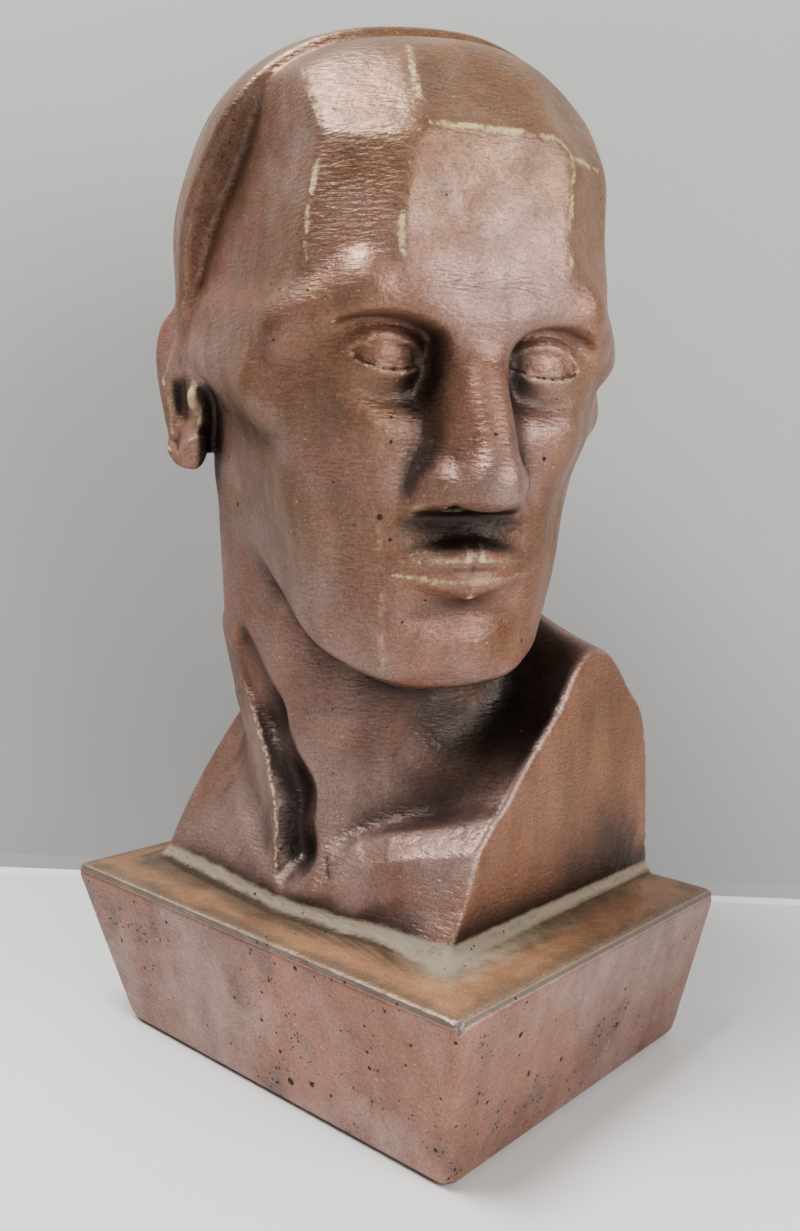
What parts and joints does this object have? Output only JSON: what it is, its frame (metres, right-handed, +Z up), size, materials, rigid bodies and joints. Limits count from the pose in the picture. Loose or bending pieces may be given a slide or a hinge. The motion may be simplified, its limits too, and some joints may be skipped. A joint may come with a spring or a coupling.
{
  "type": "bust",
  "caption": "Cast bust: a bald head with broad carved planes, turned over one shoulder, on a trunk cut off at the arms, which stands on a tapered block plinth.",
  "frame": {"origin": "middle of the plinth's underside", "axes": "+Z up; -Y out of the plinth's front; +X to the sitter's left arm cut. The head is turned towards +X."},
  "size_m": [0.206, 0.1777, 0.3854],
  "materials": {
    "patinated_plaster": "copper-brown patina paint on cast plaster, satin with a faint metallic sheen, golden where the arrises are worn, dark in the hollows"
  },
  "bodies": {
    "root": {"bust": "patinated_plaster"}
  },
  "joints": []
}
